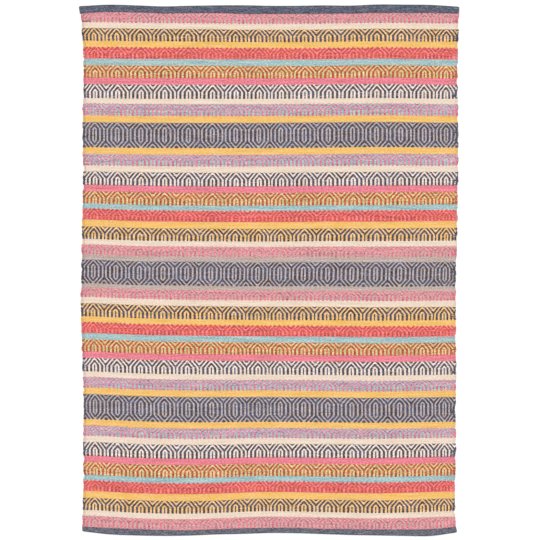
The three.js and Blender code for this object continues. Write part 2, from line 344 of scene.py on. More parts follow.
def build_of(band):
    """How thick a band is, and how much wider than a plain one at each selvedge."""
    return (pattern_thickness, pattern_spread) if band["patterned"] else (plain_thickness, 0)


def band_rows(k):
    """The lines of one band, from its upper edge to just short of its lower edge."""
    band = bands[k]
    thickness, spread = build_of(band)
    first, last = band["top"] - half_ramp, band["bottom"] + half_ramp
    if k == 0:
        return end_rows(1, band)[::-1] + [row(last, band, thickness, spread)]
    edge_band, edge = (band, "top") if band["patterned"] else (bands[k - 1], "bottom")
    middle_thickness = (plain_thickness + pattern_thickness) / 2
    upper_edge = row(band["top"], edge_band, middle_thickness, pattern_spread / 2, edge)
    if k == len(bands) - 1:
        return [upper_edge, row(first, band, thickness, spread)] + end_rows(-1, band)
    count = int(np.ceil((first - last) / row_spacing)) + 1
    return [upper_edge] + [row(along, band, thickness, spread) for along in np.linspace(first, last, count)]


# The underside is plainer: a line every two ends. Rounded lines close each selvedge.
under_columns = np.concatenate([[last_end], np.arange(last_end - 0.5, first_end + 1, -2), [first_end]])
under_numbers = np.searchsorted(columns, under_columns)
round_angles = np.radians([45, 0, -45])
unevenness = 0.15


def all_round(values):
    """What each column has on the top, for every point on the way round a length."""
    rounds = np.ones(len(round_angles))
    return np.concatenate([values, values[-1] * rounds, values[under_numbers], values[0] * rounds])


def ring(line):
    """All the way round the cloth at one line: over the top, round a selvedge and back under."""
    across, lengthwise, lift = line["across"], line["lengthwise"], line["lift"]
    swell = unevenness * (np.sin(across / 61 + lengthwise / 130) + np.sin(across / 170 - lengthwise / 47))
    swell *= 1 - 0.8 * lift / tape_rise
    middle = lift + line["thickness"] / 2
    reach = edge_round * np.cos(round_angles)
    drop = line["thickness"] / 2 * np.sin(round_angles)
    x = all_round(across) + np.concatenate([0 * columns, reach, 0 * under_numbers, -reach[::-1]])
    z = np.concatenate([
        lift + line["thickness"] + swell, middle + drop, lift + 0 * under_numbers, middle + drop[::-1]])
    loom = [all_round(columns), all_round(line["steps"]), all_round(line["along"])]
    back = np.concatenate([0 * columns, 0 * reach, 1 + 0 * under_numbers, 0 * reach])
    return np.stack([x, all_round(lengthwise), z], axis=1), np.stack(loom, axis=1), back


def cap_faces(start, flip):
    """Walls across the cut end of a length, one for each stretch between two lines of the underside."""
    first_under = len(columns) + len(round_angles)
    last_under = first_under + len(under_columns) - 1
    faces = []
    for k in range(len(under_columns) - 1):
        over = list(range(under_numbers[k + 1], under_numbers[k] + 1))
        below = [first_under + k, first_under + k + 1]
        if k == 0:
            over += list(range(len(columns), first_under))
        if k == len(under_columns) - 2:
            below += list(range(last_under + 1, last_under + 1 + len(round_angles)))
        face = [start + i for i in over + below]
        faces.append(face if flip else face[::-1])
    return faces


def give(mesh, name, kind, values, domain="POINT"):
    """Gives a mesh an attribute, with a value for each point or face."""
    key = "vector" if kind == "FLOAT_VECTOR" else "value"
    number = np.int32 if kind == "INT" else np.float32
    mesh.attributes.new(name, kind, domain).data.foreach_set(key, np.asarray(values).astype(number).ravel())


yarn_names = ["cream", "yellow", "pink", "aqua", "greige", "pink_greige", "navy_yellow", "pink_red",
              "orange_green", "navy_cream", "pink_blue", "navy_greige"]


def cloth_length(name, first, count):
    """A closed mesh of some of the bands, with where each point lies on the loom as an attribute."""
    lines = []
    stripes = []
    for k in range(first, first + count):
        new = band_rows(k)
        lines += new
        stripes += [yarn_names.index(bands[k]["yarn"])] * len(new)
    if first + count < len(bands):
        lines.append(band_rows(first + count)[0])
    points, looms, backs = [np.concatenate(parts) for parts in zip(*[ring(line) for line in lines])]
    around = len(points) // len(lines)
    i = np.arange(around)
    start = np.arange(len(lines) - 1)[:, None] * around
    after = (i + 1) % around
    quads = np.stack([start + i, start + around + i, start + around + after, start + after], axis=-1)
    caps = cap_faces(0, True) + cap_faces((len(lines) - 1) * around, False)
    mesh = bpy.data.meshes.new(name)
    mesh.from_pydata((points * mm).tolist(), [], quads.reshape(-1, 4).tolist() + caps)
    mesh.polygons.foreach_set("use_smooth", np.arange(len(mesh.polygons)) < quads.size // 4)
    of_strips = np.repeat(stripes[:len(lines) - 1], around)
    of_caps = np.repeat([stripes[0], stripes[len(lines) - 2]], len(caps) // 2)
    give(mesh, "loom", "FLOAT_VECTOR", looms)
    give(mesh, "back", "FLOAT", backs)
    give(mesh, "stripe", "INT", np.concatenate([of_strips, of_caps]), "FACE")
    return placed(name, mesh)


# Yarn. Hand-spun wool, dyed in small lots, so that a stripe is streaked along its wefts, with
# melange beads where each weft crosses an end. Both colours of a patterned band are made so.
def sign(operation, other_first=False):
    """What a sign of arithmetic does to a result: it adds the node that does the sum."""
    if other_first:
        return lambda result, other: work(operation, other, result)
    return lambda result, other: work(operation, result, other)


class Result:
    """The first thing that comes out of a node, and by number or name the others. Arithmetic on it
    adds the nodes that work it out."""

    def __init__(self, node, key=0):
        self.node = node
        self.socket = node.outputs[key] if node.outputs else None

    def __getitem__(self, key):
        return Result(self.node, key)

    __add__ = sign("ADD")
    __radd__ = sign("ADD", True)
    __sub__ = sign("SUBTRACT")
    __rsub__ = sign("SUBTRACT", True)
    __mul__ = sign("MULTIPLY")
    __rmul__ = sign("MULTIPLY", True)
    __truediv__ = sign("DIVIDE")
    __mod__ = sign("MODULO")
    __pow__ = sign("POWER")
    __gt__ = sign("GREATER_THAN")
    __lt__ = sign("LESS_THAN")

    def __abs__(self):
        return work("ABSOLUTE", self)


def put(tree, kind, inputs=None, **settings):
    """Adds a node with its settings, and gives its inputs numbers, colours or other nodes' results."""
    made = tree.nodes.new(kind)
    for name, value in settings.items():
        setattr(made, name, value)
    for key, value in (inputs or {}).items():
        if isinstance(value, Result):
            tree.links.new(value.socket, made.inputs[key])
        else:
            made.inputs[key].default_value = value
    return Result(made)


def tree_of(*values):
    """The node tree that the first result among these values is in."""
    return next(value.socket.id_data for value in values if isinstance(value, Result))


def work(operation, *values):
    """One sum on numbers."""
    return put(tree_of(*values), "ShaderNodeMath", dict(enumerate(values)), operation=operation)


def ramp(value, start, end, low=0.0, high=1.0):
    """Goes from low to high while the value goes from start to end."""
    inputs = {"Value": value, "From Min": start, "From Max": end, "To Min": low, "To Max": high}
    return put(tree_of(value), "ShaderNodeMapRange", inputs)


def parts(whole):
    """The three numbers of a vector."""
    return put(tree_of(whole), "ShaderNodeSeparateXYZ", {0: whole})


def vector(x=0.0, y=0.0, z=0.0):
    """Three numbers as a vector."""
    return put(tree_of(x, y, z), "ShaderNodeCombineXYZ", {0: x, 1: y, 2: z})


def noise(place, scale, detail, roughness=0.5, result=0):
    """Soft patches: a number from about 0.2 to 0.8 at each place, or a colour."""
    inputs = {"Vector": place, "Scale": scale, "Detail": detail, "Roughness": roughness}
    return put(tree_of(place), "ShaderNodeTexNoise", inputs)[result]


def new_group(name, inputs, outputs, kind="ShaderNodeTree"):
    """A node group, and what its inputs bring in."""
    group = bpy.data.node_groups.new(name, kind)
    for in_out, sockets in (("INPUT", inputs), ("OUTPUT", outputs)):
        for label, what, *value in sockets:
            socket = group.interface.new_socket(label, in_out=in_out, socket_type=f"NodeSocket{what}")
            if value:
                socket.default_value = value[0]
    return group, put(group, "NodeGroupInput")


# Weft-faced weave: on every rib the wefts show as a row of flat beads, and the beads of one
# rib lie half a bead higher than those of the next. The crest value is 1 on a rib and 0 in a
# groove, and as painted shade it darkens the grooves, the last three ends at each selvedge,
# more on the left, and on the left one line in the groove inside the first arch's foot.
bead_length = 2.2
beads_below = 2000  # more than the rug has, so that no bead's number is under 0
weave, given = new_group(
    "weft_faced_weave",
    [("Loom", "Vector"), ("Bead length", "Float", bead_length), ("Tight groove", "Float", 0.5)],
    [("Height", "Float"), ("Crest", "Float"), ("Bead", "Float")])
place = parts(given["Loom"])
nearest = work("FLOOR", place[0] + 0.5)
crest_and_shade = 1 - 4 * abs(place[0] - nearest) ** 2
beads = place[2] / given["Bead length"] + nearest % 2 * 0.5
swelling = 1 - 4 * abs(work("FRACT", beads + beads_below) - 0.5) ** 2
height = swelling * (crest_and_shade + 0.4) + noise(given["Loom"], 2.1, 4) * 0.5
# Painted shade: the crest value is lowered in one groove on the left and over the last three ends at each
# selvedge.
crest_and_shade = crest_and_shade - ramp(abs(place[0] - given["Tight groove"]), 0.8, 0.4) * 0.5
for from_edge, darkness in ((place[0] - first_end, 0.6), (last_end - place[0], 0.35)):
    crest_and_shade = crest_and_shade - ramp(from_edge, 3, 1.8) * darkness
bead = vector(nearest, work("FLOOR", beads))
chance = put(weave, "ShaderNodeTexWhiteNoise", {"Vector": bead}, noise_dimensions="2D")["Value"]
put(weave, "NodeGroupOutput", {"Height": height, "Crest": crest_and_shade, "Bead": chance})

# The draft of the pattern, read off the loom: 1 where the figure's weft is on top at that end
# and step. The line between figure and ground is ragged, bead by bead. Here and there a run
# of the ground's weft half covers the figure, and the figure's weft covers the outermost ends.
sloping = 0.85  # this share of a diagonal's lean is a slope, and the rest is in whole ends
covering = 0.55  # how much of the figure a weft of the ground hides
draft, given = new_group(
    "point_draft",
    [("Loom", "Vector"), ("Back", "Float"), ("Bead", "Float"), ("Spread", "Float", 0.1),
     ("Raggedness", "Float", 0.3), ("Evenness", "Float", 0.66)],
    [("Figure", "Float")])
place = parts(given["Loom"])
shake = (given["Bead"] - 0.5) * given["Raggedness"]
from_middle = arch_ends / 2 - work("PINGPONG", place[0] + shake, arch_ends / 2)
lane = from_middle * sloping + work("FLOOR", from_middle + 0.5) * (1 - sloping)
under = -hexagon_leg_steps - place[1]
steps = work("MAXIMUM", place[1], under) + shake * 0.5
bent = steps > 0
shifts = []
for shift in (middle_out, between_in):
    early, late = [upper + (under > 0) * (lower - upper) for upper, lower in zip(*shift.tolist())]
    shifts.append((early + (steps > late_from) * (late - early)) * bent)
lane = work("MAXIMUM", lane, shifts[0])
lane = lane - shifts[1] * (lane > arch_ends / 2 - 0.5)
place_in_four = (lane + work("MAXIMUM", steps, 0) + draft_start) % draft_ends

# The single ends in the middle of an arch and between two arches stand 0.04 and 0.1 of an end wider.
alone = abs(from_middle - arch_ends / 4) > arch_ends / 4 - 1
wider = 0.04 + from_middle * (0.06 / (arch_ends / 2))
figure = abs(place_in_four - draft_ends / 2) < given["Spread"] + alone * wider + draft_ends / 4

# The ground's weft covers the figure one weft at a time, over a few ends.
pick = vector(place[0] * 0.11, work("FLOOR", place[2] / bead_length))
covered = noise(pick, 1.37, 1) > given["Evenness"]
figure = figure * (1 - covered * covering)

# Near each selvedge: how many ends in, and how often the figure's weft covers them.
from_left = place[0] - first_end
from_right = last_end - place[0]
for from_edge, reach, chance in (
        (from_left, 3.6, 0.25), (from_left, 1.5, 0.85), (from_right, 3.6, 0.6), (from_right, 1.5, 0.9)):
    near = (from_edge < reach) * (given["Bead"] < chance) * (1 - bent)
    figure = work("MAXIMUM", figure, near)
last = (work("MINIMUM", from_left, from_right) < 0.6) * (given["Bead"] < 0.5)
figure = work("MAXIMUM", figure, last)
put(draft, "NodeGroupOutput", {"Figure": abs(figure - (given["Back"] > 0.5))})

# One dyed yarn: it wanders between two tints and a little towards green and away from it, and
# is paler or darker in long runs along the wefts and in short patches of a bead or two. Where
# it turns at a selvedge it is painted darker and browner, as painted shade.
def vectors(operation, first, second):
    """A sum on vectors or colours, or on one of them and a number that scales it."""
    inputs = {0: first, "Scale" if operation == "SCALE" else 1: second}
    return put(tree_of(first), "ShaderNodeVectorMath", inputs, operation=operation)


def mix(share, first, second, blend_type="MIX"):
    """Two colours mixed by a share."""
    inputs = {0: share, 6: first, 7: second}
    return put(tree_of(share), "ShaderNodeMix", inputs, data_type="RGBA", blend_type=blend_type)[2]


# Painted shade on the turns of the weft at the selvedges: darker and browner.
painted_turn_shade = (0.8, 0.84, 0.7, 1)
dyed, given = new_group(
    "dyed_yarn",
    [("Loom", "Vector"), ("Crest", "Float", 1), ("Bead", "Float", 0.5), ("Yarn", "Color"), ("Tint", "Color"),
     ("Unevenness", "Float", 0.5), ("Lot", "Float")],
    [("Color", "Color")])
place = parts(given["Loom"])


def patches(per_end, per_mm, lot, detail):
    """Noise in patches of that many to a warp end across the rug and to a millimetre along it."""
    return noise(vector(place[0] * per_end, place[2] * per_mm, given["Lot"] + lot), 1, detail, 0.6)


colour = mix(ramp(patches(0.06, 0.09, 0, 2), 0.35, 0.65), given["Yarn"], given["Tint"])
runs = patches(0.022, 0.13, 31, 3) - 0.5
spots = patches(0.6, 0.22, 57, 1) - 0.5
shade = 1 + (runs * 0.7 + spots * 1.1) * given["Unevenness"]
# The crest value paints shade into the grooves and along the selvedges.
shade = shade * (0.95 + given["Bead"] * 0.1) * (0.86 + given["Crest"] * 0.21)
colour = vectors("SCALE", colour, work("MAXIMUM", shade, 0.05))
greener = (patches(0.35, 0.12, 83, 1) - 0.5) * given["Unevenness"]
colour = vectors("MULTIPLY", colour, vector(1, 1 + greener * 0.35, 1))
turned = work("MAXIMUM", place[0] < first_end - 0.05, place[0] > last_end + 0.05)
put(dyed, "NodeGroupOutput", {"Color": mix(turned, colour, painted_turn_shade, "MULTIPLY")})

lots_apart = 7.3  # how far apart the noise of a band's two yarns is taken
# Each yarn: its two tints and how uneven its dye is.
yarns = {
    "cream": ((238, 219, 205), (234, 213, 188), 0.5),
    "yellow": ((243, 197, 126), (240, 188, 96), 0.58),
    "pink": ((233, 131, 152), (232, 130, 136), 1.4),
    "aqua": ((176, 197, 193), (150, 190, 196), 1.4),
    "greige": ((194, 174, 172), (190, 172, 158), 1.15),
    "navy": ((80, 68, 66), (90, 92, 116), 2.0),
    "rose": ((231, 127, 140), (214, 122, 140), 1.8),
    "grey": ((201, 165, 158), (205, 171, 168), 1.4),
    "red": ((222, 98, 78), (202, 82, 82), 2.2),
    "bright_pink": ((240, 140, 148), (236, 126, 126), 1.4),
    "orange": ((198, 101, 58), (182, 84, 68), 2.1),
    "green": ((230, 202, 154), (196, 190, 130), 1.8),
    "bright_yellow": ((243, 202, 154), (236, 184, 104), 1.5),
    "pale_cream": ((241, 226, 222), (234, 213, 190), 1.1),
    "light_blue": ((168, 199, 197), (156, 172, 188), 1.7),
    "mauve": ((230, 129, 142), (214, 127, 152), 1.8),
    "stone": ((192, 173, 163), (177, 173, 184), 1.8),
}
# Ground and figure of each patterned band, how far the figure's wefts swell over the ground's,
# and how seldom the ground's cover them.
patterns = {
    "pink_greige": ("grey", "rose", 0.1, 0.66),
    "navy_yellow": ("bright_yellow", "navy", 0.14, 0.66),
    "pink_red": ("red", "bright_pink", -0.14, 0.54),
    "orange_green": ("green", "orange", 0.12, 0.66),
    "navy_cream": ("pale_cream", "navy", 0.14, 0.66),
    "pink_blue": ("light_blue", "mauve", 0.08, 0.62),
    "navy_greige": ("stone", "navy", 0.23, 0.68),
}


def new_material(name):
    """A material with no nodes yet, and its tree."""
    made = bpy.data.materials.new(name)
    made.use_nodes = True
    made.node_tree.nodes.clear()
    return made, made.node_tree


def surfaced(tree, looks, relief=None, strength=0.0, depth=0.0):
    """Ends a material in its shader, with relief that is up to this many millimetres deep."""
    if relief:
        bump = {"Height": relief, "Strength": strength, "Distance": depth * mm}
        looks["Normal"] = put(tree, "ShaderNodeBump", bump)
    put(tree, "ShaderNodeOutputMaterial", {0: put(tree, "ShaderNodeBsdfPrincipled", looks)})


def linear(red, green, blue):
    """A colour as it looks on a screen, from 0 to 255, in the light it gives."""
    shown = np.array([red, green, blue]) / 255
    light = np.where(shown <= 0.04045, shown / 12.92, ((shown + 0.055) / 1.055) ** 2.4)
    return (*light, 1)


def wool(name):
    """The material of one band: one dyed yarn, or two woven by the draft."""
    material, tree = new_material(name)
    loom = put(tree, "ShaderNodeAttribute", attribute_name="loom")["Vector"]
    woven = put(tree, "ShaderNodeGroup", {"Loom": loom}, node_tree=weave)
    colours = []
    for lot, yarn in enumerate(patterns.get(name, (name,))[:2]):
        plain, tint, unevenness = yarns[yarn]
        dye = {
            "Yarn": linear(*plain), "Tint": linear(*tint), "Unevenness": unevenness, "Lot": lot * lots_apart}
        colours.append(put(tree, "ShaderNodeGroup", {
            "Loom": loom, "Crest": woven["Crest"], "Bead": woven["Bead"], **dye}, node_tree=dyed)["Color"])
    colour = colours[0]
    if name in patterns:
        back = put(tree, "ShaderNodeAttribute", attribute_name="back")["Fac"]
        share = put(tree, "ShaderNodeGroup", {
            "Loom": loom, "Back": back, "Bead": woven["Bead"], "Spread": patterns[name][2],
            "Evenness": patterns[name][3]}, node_tree=draft)["Figure"]
        colour = mix(share, *colours)
    surfaced(tree, {
        "Base Color": colour, "Roughness": 0.92, "Specular IOR Level": 0.15, "Sheen Weight": 0.12,
        "Sheen Roughness": 0.6}, woven["Height"], strength=0.6, depth=0.25)
    return material


wools = [wool(name) for name in yarn_names]


# Ribs and stripes. Each stripe gets its own yarn, and the grooves between the warp ends are
# pressed into the top of each length.
def mesh_group(name, *inputs):
    """A node group that takes a mesh, with these inputs, and gives a mesh."""
    mesh = ("Geometry", "Geometry")
    return new_group(name, [mesh, *inputs], [mesh], "GeometryNodeTree")


def carried(tree, name, data_type="FLOAT"):
    """What a mesh carries under this name."""
    return put(tree, "GeometryNodeInputNamedAttribute", {"Name": name}, data_type=data_type)


groove_depth = 0.45
dye_stripes, given = mesh_group("dye_stripes")
geometry = given["Geometry"]
stripe = carried(dye_stripes, "stripe", "INT")
for number, material in enumerate(wools):
    chosen = put(dye_stripes, "FunctionNodeCompare", {2: stripe, 3: number},
                 data_type="INT", operation="EQUAL")
    geometry = put(dye_stripes, "GeometryNodeSetMaterial", {
        "Geometry": geometry, "Selection": chosen, "Material": material})
put(dye_stripes, "NodeGroupOutput", {0: geometry})

ribs, given = mesh_group("ribs_and_stripes", ("Groove depth", "Float", groove_depth * mm))
end = parts(carried(ribs, "loom", "FLOAT_VECTOR"))[0]
groove = work("MAXIMUM", abs(work("SINE", end * np.pi)) - 0.5, 0) * 2 * (1 - carried(ribs, "back"))
down = vector(z=groove * (given["Groove depth"] * -1))
geometry = put(ribs, "GeometryNodeSetPosition", {"Geometry": given["Geometry"], "Offset": down})
geometry = put(ribs, "GeometryNodeRealizeInstances", {0: geometry})
geometry = put(ribs, "GeometryNodeGroup", {0: geometry}, node_tree=dye_stripes)
put(ribs, "NodeGroupOutput", {0: geometry})


def applied(piece, tree, **values):
    """Runs a geometry node tree on a piece, with its named inputs, and keeps the plain mesh."""
    modifier = piece.modifiers.new(tree.name, "NODES")
    modifier.node_group = tree
    for item in tree.interface.items_tree:
        key = item.name.replace(" ", "_").lower()
        if item.in_out == "INPUT" and key in values:
            modifier[item.identifier] = values[key]
    evaluated = piece.evaluated_get(bpy.context.evaluated_depsgraph_get())
    mesh = bpy.data.meshes.new_from_object(evaluated)
    piece.modifiers.remove(modifier)
    old = piece.data
    piece.data = mesh
    bpy.data.meshes.remove(old)
    mesh.name = piece.name


length_bands = [9, 9, 9, 9, 9, 8]  # how many bands each length has
first_band = 0
for number, count in enumerate(length_bands):
    cloth = cloth_length(f"cloth_length_{number + 1}", first_band, count)
    applied(cloth, ribs, groove_depth=groove_depth * mm)
    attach(cloth, "root")
    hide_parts("woven_cloth")
    first_band += count


# The selvedges. Each weft turns back round the outermost end, which shows as a row of small
# loops of yarn down both sides of the rug, in the colours of the bands.
turn_pitch = 3.0
turn_thickness = 0.75
turn_reach = 2.3
turn_outside = 0.15  # how many ends past the outermost one a turn lies on the loom
turn_lean = 0.25  # in radians, to either side
turn_stoutness = (0.6, 1.4)
turn_seed = 5
half_turn = np.radians(76)


def reshaped(geometry, **change):
    """A shape turned or scaled."""
    return put(tree_of(geometry), "GeometryNodeTransform", {"Geometry": geometry, **change})


def chance_between(tree, low, high, seed):
    """A number by chance for each point."""
    return put(tree, "FunctionNodeRandomValue", {2: low, 3: high, "Seed": seed}, data_type="FLOAT")[1]


def copies(points, shape, turn, scale):
    """A shape at every point, all in one smooth mesh."""
    tree = tree_of(points)
    many = put(tree, "GeometryNodeInstanceOnPoints", {
        "Points": points, "Instance": shape, "Rotation": turn, "Scale": scale})
    joined = put(tree, "GeometryNodeRealizeInstances", {0: many})
    return put(tree, "GeometryNodeSetShadeSmooth", {0: joined})


turns, given = mesh_group(
    "selvedge_turns", ("Reach", "Float", turn_reach * mm),
    ("Yarn thickness", "Float", turn_thickness * mm), ("Seed", "Int", turn_seed))
thickness = given["Yarn thickness"]
arc = put(turns, "GeometryNodeCurveArc", {
    "Resolution": 5, "Radius": 1, "Start Angle": -half_turn, "Sweep Angle": 2 * half_turn}, mode="RADIUS")
arc = reshaped(arc, Rotation=(np.pi / 2, 0, 0))
arc = reshaped(arc, Scale=vector(given["Reach"], given["Reach"], given["Reach"]))
strand = put(turns, "GeometryNodeCurvePrimitiveCircle", {"Resolution": 6, "Radius": 1}, mode="RADIUS")
strand = reshaped(strand, Scale=vector(thickness * 1.9, thickness, thickness))
loop = put(turns, "GeometryNodeCurveToMesh", {"Curve": arc, "Profile Curve": strand, "Fill Caps": True})
lean = chance_between(turns, -turn_lean, turn_lean, given["Seed"])
stoutness = chance_between(turns, *turn_stoutness, given["Seed"] + 1)
loops = copies(given["Geometry"], loop, vector(lean, 0, carried(turns, "facing")),
               vector(stoutness, 1, carried(turns, "tall")))
loops = put(turns, "GeometryNodeGroup", {0: loops}, node_tree=dye_stripes)
put(turns, "NodeGroupOutput", {0: loops})


def turn_places(left):
    """Where each turn of the weft lies down one selvedge, where on the loom, its band and its height."""
    column = 0 if left else -1
    end = first_end - turn_outside if left else last_end + turn_outside
    found = []
    for band in bands:
        thickness, spread = build_of(band)
        count = max(1, int(round(band["height"] / turn_pitch)))
        for along in band["top"] - (np.arange(count) + 0.5) * band["height"] / count:
            across = across_at(along, spread)[column]
            lengthwise = along + bow(across, along)
            if not tape_edge_along(-1, across) + 1 < lengthwise < tape_edge_along(1, across) - 1:
                continue
            steps = steps_from_bend(band, along) if band["patterned"] else 0
            found.append((
                (across, lengthwise - outline_middle, thickness / 2), (end, steps, along),
                yarn_names.index(band["yarn"]), (thickness / 2 - turn_thickness * 0.6) / turn_reach))
    return [np.array(values) for values in zip(*found)]


for name, left in (("left_selvedge_turns", True), ("right_selvedge_turns", False)):
    places, looms, numbers, talls = turn_places(left)
    mesh = bpy.data.meshes.new(name)
    mesh.from_pydata((places * mm).tolist(), [], [])
    give(mesh, "loom", "FLOAT_VECTOR", looms)
    give(mesh, "stripe", "INT", numbers)
    give(mesh, "tall", "FLOAT", talls)
    give(mesh, "facing", "FLOAT", np.full(len(places), np.pi if left else 0))
    side = placed(name, mesh)
    applied(side, turns, reach=turn_reach * mm, yarn_thickness=turn_thickness * mm, seed=turn_seed)
    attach(side, "root")


# The bindings. Each end of the cloth is bound with a navy cotton tape, folded over it, with its
# own ends turned in past the selvedges, and held by one line of stitches through all the layers.
# Its edge on the cloth gives way a little wherever the figure's ribs push against it.
tapes = {
    "head": {"side": 1, "left": -859, "right": 855, "left_lean": -4, "right_lean": 1.5},
    "foot": {"side": -1, "left": -848, "right": 841, "left_lean": 0, "right_lean": 5},
}
corner_round = 6
corner_drop = 3.6
fold_radius = 2.4
lip_give = 2.5
seam_inset = 4
seam_depth = 0.35
seam_width = 1.1
pucker = 0.07  # how high the tape ripples beside its seam
lip_press = 0.3  # how far the tape's edge is pressed down
tapes_apart = 2000  # the two are cut from places that far apart, with 0 between them


def hump(at, middle, width):
    """1 at the middle, and next to nothing two widths away."""
    return np.exp(-((at - middle) / width) ** 2)


def tape_skin(tape, across, inset, above, below, around_fold):
    """Lines round the tape, from its edge on the cloth over the fold to its edge underneath.

    above and below say how far from the tape's edge each line has its points; past those, shares
    of the way to the fold."""
    side = tape["side"]
    round_in = np.clip(1 - np.minimum(across - tape["left"], tape["right"] - across) / corner_round, 0, 1)
    fold = end_along(side, across) - side * corner_drop * round_in ** 2.2
    edge = tape_edge_along(side, across)
    middle = float(tape_edge_along(side, 0))
    ends = np.interp(across, across_at(middle, 0), columns)
    steps = steps_from_bend(bands[0 if side == 1 else -1], edge - bow(across, middle))
    ribs = figure_at(np.floor(ends + 0.49), steps) + figure_at(np.floor(ends + 0.51), steps)
    give_way = (lip_give * ribs / 2 + 0.2 * waver(across, 7.7, 1.5, 53))[:, None]
    width = (side * (fold - edge))[:, None]
    straight = width - fold_radius

    def spread_out(places, shares, give_way):
        near = np.array(places) + give_way * np.clip(1 - np.array(places) / 2, 0, 1)
        return np.concatenate([near, near[:, -1:] + (straight - near[:, -1:]) * np.array(shares)], axis=1)

    upper = spread_out(*above, give_way)
    lower = spread_out(*below, 0 * give_way)[:, ::-1]
    angles = np.radians(np.linspace(-90, 90, around_fold + 2)[1:-1])
    bend = fold_radius - (fold_radius - inset) * np.cos(angles) + 0 * width
    into = np.concatenate([width - upper, bend, width - lower], axis=1)
    ripple = (waver(across, 3.1, 2, 41) + waver(across, 5.3, 1.7, 67))[:, None]
    half = binding_thickness / 2
    outside = inset == 0
    pulled = seam_depth * (1 if outside else 0.6)
    top = half - inset - pulled * hump(upper, seam_inset, seam_width)
    top += pucker * ripple * hump(upper, seam_inset + 3, 6)
    top -= (lip_press if outside else -lip_press / 2) * np.clip(1 - (upper - upper[:, :1]) / 0.8, 0, 1)
    bottom = inset - half + pulled * hump(lower, seam_inset, seam_width)
    height = np.concatenate([top, 0 * bend - (half - inset) * np.sin(angles), bottom], axis=1)
    height *= 1 - 0.45 * round_in[:, None] ** 3
    lean = tape["left_lean"] * np.exp((tape["left"] - across) / 20)
    lean += tape["right_lean"] * np.exp((across - tape["right"]) / 20)
    x = across[:, None] + lean[:, None] * (1 - into / width)
    y = fold[:, None] - side * into - outline_middle
    from_fold = np.concatenate([upper - straight, fold_radius * (angles + np.pi / 2) + 0 * width,
                                straight - lower + fold_radius * np.pi], axis=1) - fold_radius * np.pi / 2
    return np.stack([x, y, height + half], axis=-1), from_fold, straight


def tape_mesh(name, tape):
    """The folded tape as one closed skin: outside, inside, and the strip between them at its edges."""
    left, right = tape["left"], tape["right"]
    ribs = np.interp(np.arange(first_end, last_end + 0.5, 0.5), columns, across_at(
        float(tape_edge_along(tape["side"], 0)), 0))
    curve = np.array([0, 0.3, 1.3, 3.2, corner_round])
    between = ribs[(ribs > left + corner_round + 1) & (ribs < right - corner_round - 1)]
    outer = np.concatenate([left + curve, between, (right - curve)[::-1]])
    ends = [left, left + corner_round, right - corner_round, right]
    inner = np.interp(outer, ends, [left + tape_thickness, ends[1], ends[2], right - tape_thickness])
    above = ([0, 0.4, 2.2, 3, 4, 5, 6.5, 9.5], [0.33, 0.67, 1])
    below = ([0, 3, 4, 5, 9.5], [0.5, 1])
    within = ([0, 5], [1])
    outside, from_fold, straight = tape_skin(tape, outer, 0, above, below, 7)
    inside, hidden, _ = tape_skin(tape, inner, tape_thickness, within, within, 3)
    stations = len(outer)
    numbers = np.arange(from_fold.size).reshape(stations, -1)
    skins = [numbers, numbers.size + np.arange(hidden.size).reshape(stations, -1)]
    faces = []
    for skin in skins:
        quads = np.stack([skin[:-1, :-1], skin[1:, :-1], skin[1:, 1:], skin[:-1, 1:]], axis=-1)
        faces += quads.reshape(-1, 4).tolist() + [skin[0].tolist(), skin[-1].tolist()]
    for i in (0, -1):
        out, back = skins[0][:, i], skins[1][:, i]
        faces += np.stack([out[:-1], out[1:], back[1:], back[:-1]], axis=-1).tolist()
        out, back = skins[0][i], skins[1][i]
        faces.append([int(out[0]), int(out[-1]), int(back[-1]), int(back[0])])
    points = np.concatenate([outside.reshape(-1, 3), inside.reshape(-1, 3)])
    mesh = bpy.data.meshes.new(f"{name}_tape")
    mesh.from_pydata((points * mm).tolist(), [], faces)
    shape = bmesh.new()
    shape.from_mesh(mesh)
    bmesh.ops.recalc_face_normals(shape, faces=shape.faces)
    shape.to_mesh(mesh)
    shape.free()
    mesh.shade_smooth()
    lengthwise = points[:, 0] - tapes_apart / 2 * tape["side"]
    crosswise = np.concatenate([from_fold.ravel(), hidden.ravel()])
    from_end = np.concatenate([
        (np.minimum(at - left, right - at)[:, None] + 0 * skin).ravel()
        for at, skin in ((outer, from_fold), (inner, hidden))])
    give(mesh, "tape", "FLOAT_VECTOR", np.stack([lengthwise, crosswise, from_end], axis=1))
    return mesh, 2 * straight.mean() + fold_radius * np.pi


# The tape is a cotton herringbone of slate blue, its threads dyed unevenly, and a little
# paler at the foot. It is painted dark and greenish at the fold and at its turned-in ends, as
# painted shade on their rounding, worn pale in places beside the fold, and caught with pale specks of lint.
twill_pitch = 1.5
herringbone = 3.5  # how wide each of its stripes is
lint_spacing = 22
lint_size = 1.4
worn_from_fold = 8.5
binding, tree = new_material("binding_tape")
place = put(tree, "ShaderNodeAttribute", attribute_name="tape")["Vector"]
spot = parts(place)


def tape_noise(lengthwise, crosswise, detail=2):
    """Patches in the tape, with this many to the millimetre along it and across it."""
    return noise(vectors("MULTIPLY", place, (lengthwise, crosswise, 0)), 1, detail)


